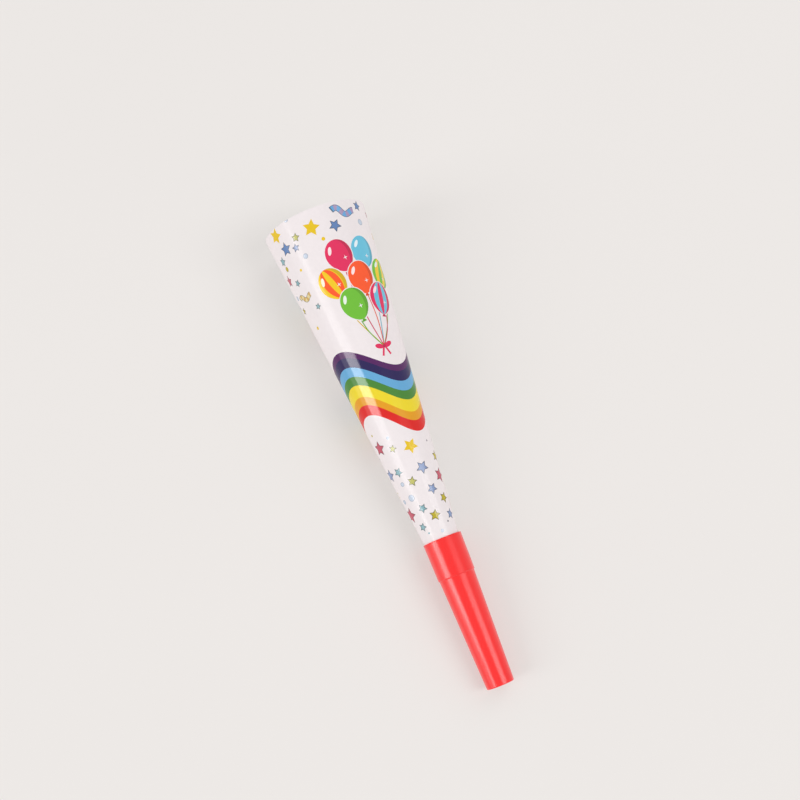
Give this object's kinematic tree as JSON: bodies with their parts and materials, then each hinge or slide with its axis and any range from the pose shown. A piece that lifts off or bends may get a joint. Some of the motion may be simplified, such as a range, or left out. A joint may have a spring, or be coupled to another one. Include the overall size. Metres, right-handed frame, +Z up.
{
  "type": "party horn blower",
  "caption": "Hand-blown party horn: a printed card cone with a lap seam in a tapered plastic mouthpiece that holds a beating film reed.",
  "frame": {"origin": "middle of the bottom of the bounding box, on the surface that the horn lies on", "axes": "+X along the horn's length from the bell to the mouth end, +Z up with the horn lying on its side, +Y to complete the right-handed set"},
  "size_m": [0.1712, 0.0368, 0.0368],
  "materials": {
    "printed_card": "gloss laminated print on white card",
    "clear_glue": "dried glue",
    "red_plastic": "satin gloss moulded polypropylene",
    "natural_plastic": "natural moulded polypropylene",
    "reed_film": "thin polyester film"
  },
  "bodies": {
    "horn": {"card_cone": "printed_card", "lap_glue": "clear_glue", "mouthpiece": "red_plastic", "reed_seat": "natural_plastic", "reed_ring": "natural_plastic"},
    "reed": {"reed_tongue": "reed_film"}
  },
  "joints": [
    {"name": "reed_flex", "type": "hinge", "parent": "horn", "child": "reed", "pos_m": [0.05215, 0.00012, 0.00807], "axis": [0, -1, 0], "range_deg": [-2, 2], "stiffness_Nm_per_rad": 0.0003}
  ]
}
